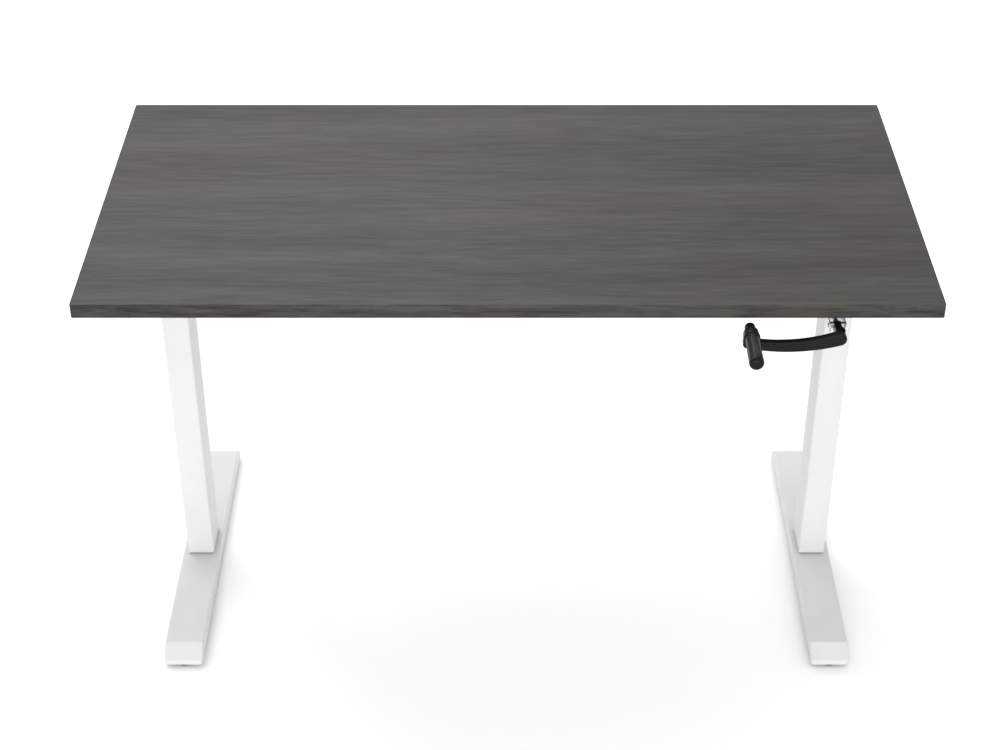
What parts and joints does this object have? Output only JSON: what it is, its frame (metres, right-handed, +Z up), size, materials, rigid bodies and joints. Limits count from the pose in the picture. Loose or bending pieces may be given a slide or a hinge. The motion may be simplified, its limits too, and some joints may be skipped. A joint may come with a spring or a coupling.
{
  "type": "height adjustable standing desk",
  "caption": "Hand-cranked sit-stand desk: dark wood-effect desktop on white telescoping columns with long flat feet; a folding crank drives shafts, mitre gears and lead screws.",
  "frame": {"origin": "on the floor under the middle of the desktop", "axes": "+X to the sitter's right, +Y away from the sitter, +Z up; the lift stands 104 mm above its lowest setting"},
  "size_m": [1.4, 0.815, 0.83],
  "materials": {
    "laminate": "matte wood-effect melamine, fine grain along the length",
    "band": "matte wood-effect edge band",
    "white_paint": "satin white powder coat",
    "black_plastic": "satin black moulded plastic",
    "zinc_steel": "bright zinc plate",
    "drawn_steel": "drawn bar, lightly oiled",
    "gear_steel": "sintered steel",
    "bronze": "oil-filled sintered bronze",
    "cast_alloy": "die cast, as cast",
    "guide_plastic": "grey acetal",
    "pad_plastic": "matte black nylon"
  },
  "bodies": {
    "base": {"left_foot": "white_paint", "right_foot": "white_paint", "foot_plates": "zinc_steel", "leveller_plates": "zinc_steel", "column_seats": "pad_plastic", "base_blocks": "drawn_steel", "column_bolts": "zinc_steel", "left_outer_tube": "white_paint", "right_outer_tube": "white_paint", "left_tube_collar": "guide_plastic", "right_tube_collar": "guide_plastic", "nut_tubes": "drawn_steel", "lift_nuts": "bronze"},
    "top": {"desktop": "laminate", "edge_band": "band", "desktop_screws": "zinc_steel", "left_inner_tube": "white_paint", "right_inner_tube": "white_paint", "glide_shoes": "guide_plastic", "head_plates": "white_paint", "left_gear_housing": "cast_alloy", "right_gear_housing": "cast_alloy", "gear_lids": "zinc_steel", "gearbox_screws": "zinc_steel", "left_support_arm": "white_paint", "right_support_arm": "white_paint", "front_rail": "white_paint", "rear_rail": "white_paint", "rail_bolts": "zinc_steel", "rail_nuts": "zinc_steel", "thrust_bearings": "gear_steel", "screw_bushes": "bronze", "crank_gear_housing": "cast_alloy", "crank_gear_cover": "zinc_steel", "shaft_bushes": "bronze", "rod_hanger": "black_plastic"},
    "left_screw": {"left_lead_screw": "drawn_steel", "left_screw_gear": "gear_steel"},
    "right_screw": {"right_lead_screw": "drawn_steel", "right_screw_gear": "gear_steel"},
    "cross_shaft": {"cross_shaft": "zinc_steel", "left_drive_gear": "gear_steel", "right_drive_gear": "gear_steel", "input_gear": "gear_steel"},
    "crank_shaft": {"crank_rod": "zinc_steel", "crank_gear": "gear_steel", "hanger_sleeve": "black_plastic", "crank_fork": "zinc_steel"},
    "crank_handle": {"hinge_block": "black_plastic", "fold_pin": "zinc_steel", "pin_washers": "zinc_steel", "crank_arm": "black_plastic", "grip_axle": "zinc_steel", "axle_cap": "black_plastic"},
    "grip": {"crank_grip": "black_plastic"},
    "front_left_leveller": {"front_left_leveller": "pad_plastic"},
    "rear_left_leveller": {"rear_left_leveller": "pad_plastic"},
    "front_right_leveller": {"front_right_leveller": "pad_plastic"},
    "rear_right_leveller": {"rear_right_leveller": "pad_plastic"}
  },
  "joints": [
    {"name": "lift", "type": "slide", "parent": "base", "child": "top", "axis": [0, 0, 1], "range_m": [-0.104, 0.336]},
    {"name": "left_screw_turn", "type": "hinge", "parent": "top", "child": "left_screw", "pos_m": [-0.599, 0.02, 0.788], "axis": [0, 0, 1], "range_deg": [-4680, 15120]},
    {"name": "right_screw_turn", "type": "hinge", "parent": "top", "child": "right_screw", "pos_m": [0.599, 0.02, 0.788], "axis": [0, 0, 1], "range_deg": [-4680, 15120]},
    {"name": "cross_shaft_turn", "type": "hinge", "parent": "top", "child": "cross_shaft", "pos_m": [0, 0.02, 0.788], "axis": [1, 0, 0], "range_deg": [-4680, 15120]},
    {"name": "crank_turn", "type": "hinge", "parent": "top", "child": "crank_shaft", "pos_m": [0.5295, -0.3, 0.788], "axis": [0, 1, 0], "range_deg": [-4680, 15120]},
    {"name": "crank_fold", "type": "hinge", "parent": "crank_shaft", "child": "crank_handle", "pos_m": [0.5295, -0.344, 0.788], "axis": [1, 0, 0], "range_deg": [0, 90]},
    {"name": "grip_spin", "type": "hinge", "parent": "crank_handle", "child": "grip", "pos_m": [0.388, -0.42, 0.792], "axis": [0, 1, 0], "continuous": true},
    {"name": "front_left_level", "type": "slide", "parent": "base", "child": "front_left_leveller", "axis": [0, 0, 1], "range_m": [-0.007, 0]},
    {"name": "rear_left_level", "type": "slide", "parent": "base", "child": "rear_left_leveller", "axis": [0, 0, 1], "range_m": [-0.007, 0]},
    {"name": "front_right_level", "type": "slide", "parent": "base", "child": "front_right_leveller", "axis": [0, 0, 1], "range_m": [-0.007, 0]},
    {"name": "rear_right_level", "type": "slide", "parent": "base", "child": "rear_right_leveller", "axis": [0, 0, 1], "range_m": [-0.007, 0]}
  ],
  "couplings": [
    {"joint": "left_screw_turn", "follows": "lift", "rad_per_m": 785.4},
    {"joint": "right_screw_turn", "follows": "lift", "rad_per_m": 785.4},
    {"joint": "cross_shaft_turn", "follows": "lift", "rad_per_m": 785.4},
    {"joint": "crank_turn", "follows": "lift", "rad_per_m": 785.4}
  ]
}
